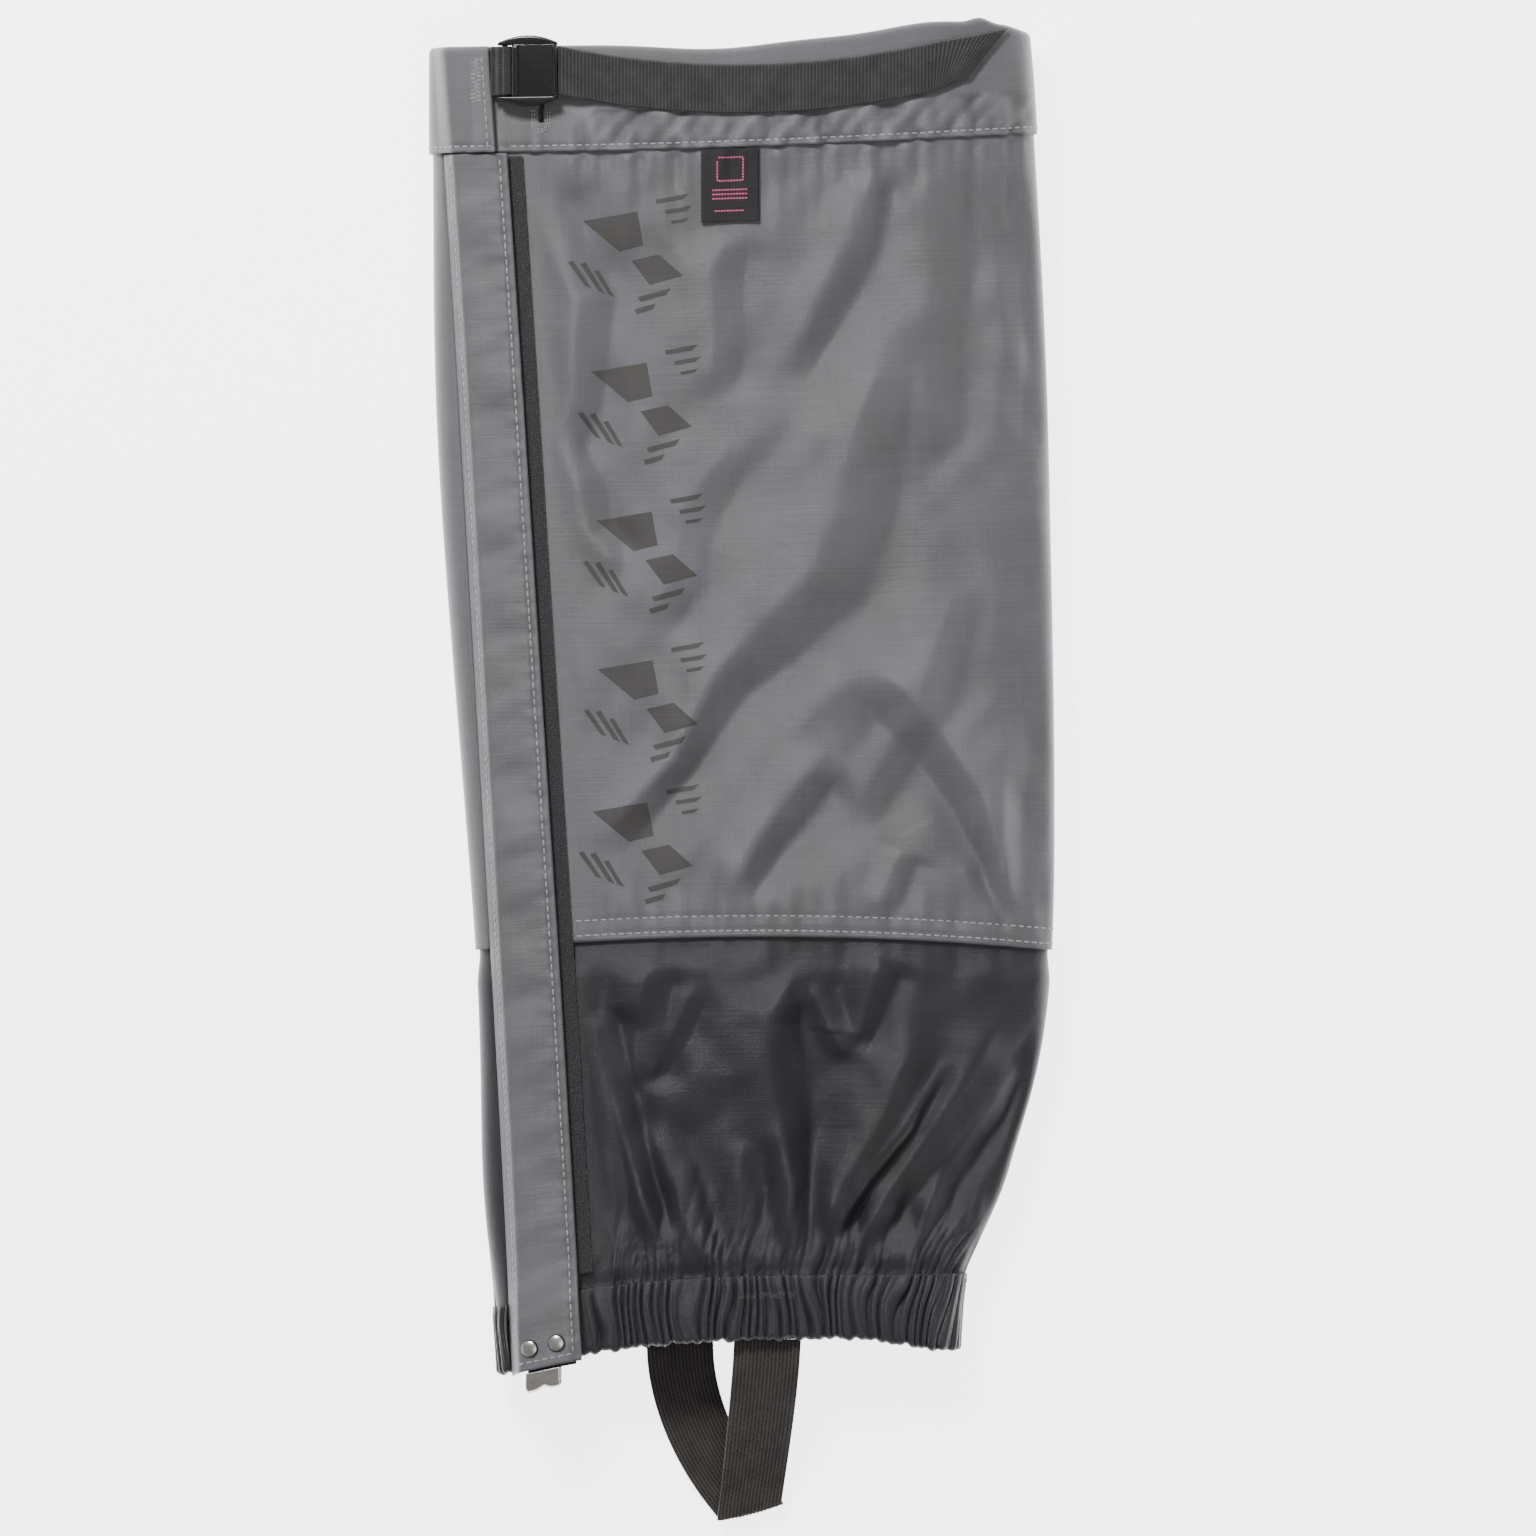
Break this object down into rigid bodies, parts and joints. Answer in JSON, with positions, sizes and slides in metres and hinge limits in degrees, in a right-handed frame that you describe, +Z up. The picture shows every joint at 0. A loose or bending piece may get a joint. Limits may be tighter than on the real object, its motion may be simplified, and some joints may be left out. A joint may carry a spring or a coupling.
{
  "type": "gaiter",
  "caption": "Calf-length hiking gaiter lying flat: cloth leg tube with a touch-fastened front flap, buckled cuff strap, elastic ankle hem, lace hook and instep strap.",
  "frame": {"origin": "on the ground, under the middle of the gaiter's box as it lies on its back layer", "axes": "+Y along the leg towards the cuff, +X towards the back of the calf, +Z up through the two layers of the flat tube"},
  "size_m": [0.2072, 0.4932, 0.0399],
  "materials": {
    "grey_cloth": "coated plain-weave nylon with a soft sheen",
    "charcoal_cloth": "coated plain-weave nylon with a soft sheen",
    "strap_webbing": "matte woven webbing with cross ribs",
    "instep_webbing": "matte woven webbing with ribs along it",
    "elastic": "braided elastic",
    "black_plastic": "moulded, satin gloss",
    "nickel": "nickel plated",
    "touch_tape": "brushed loops and fine hooks",
    "thread": "spun polyester thread",
    "label_cloth": "woven label"
  },
  "bodies": {
    "leg": {"upper_panel": "grey_cloth", "lower_panel": "charcoal_cloth", "cuff": "grey_cloth", "ankle_hem": "charcoal_cloth", "ankle_elastic": "elastic", "cuff_strap": "strap_webbing", "buckle_tab": "strap_webbing", "tab_bartack": "thread", "buttonhole_stitching": "thread", "cuff_seam_thread": "thread", "cuff_seam_thread_end": "thread", "panel_seam_thread_lower": "thread", "panel_seam_thread_upper": "thread", "loop_tape": "touch_tape", "instep_strap_front_end": "instep_webbing", "instep_strap_back_end": "instep_webbing", "instep_bartack": "thread"},
    "flap": {"front_flap": "grey_cloth", "hook_tape": "touch_tape", "flap_thread": "thread", "rivet_1": "nickel", "rivet_2": "nickel", "hook_patch": "strap_webbing", "lace_hook": "nickel"},
    "buckle": {"ladder_buckle": "black_plastic", "strap_in_buckle": "strap_webbing"},
    "tail": {"strap_tail": "strap_webbing"},
    "label": {"woven_label": "label_cloth"},
    "instep": {"instep_strap": "instep_webbing"}
  },
  "joints": [
    {"name": "flap_hinge", "type": "hinge", "parent": "leg", "child": "flap", "pos_m": [-0.08693, 0.00343, 0.0225], "axis": [0.0563, -0.9984, -0.0111], "range_deg": [0, 140]},
    {"name": "buckle_tilt", "type": "hinge", "parent": "leg", "child": "buckle", "pos_m": [-0.07742, 0.23119, 0.03496], "axis": [0, -1, 0], "range_deg": [0, 50]},
    {"name": "tail_lift", "type": "hinge", "parent": "buckle", "child": "tail", "pos_m": [-0.05987, 0.2314, 0.03798], "axis": [0, -1, 0], "range_deg": [0, 85]},
    {"name": "label_flip", "type": "hinge", "parent": "leg", "child": "label", "pos_m": [-0.0035, 0.20595, 0.0357], "axis": [-1, 0, 0], "range_deg": [0, 120]},
    {"name": "instep_swing", "type": "hinge", "parent": "leg", "child": "instep", "pos_m": [0.00877, -0.18537, 0.0238], "axis": [-1, 0, 0], "range_deg": [0, 60]}
  ]
}
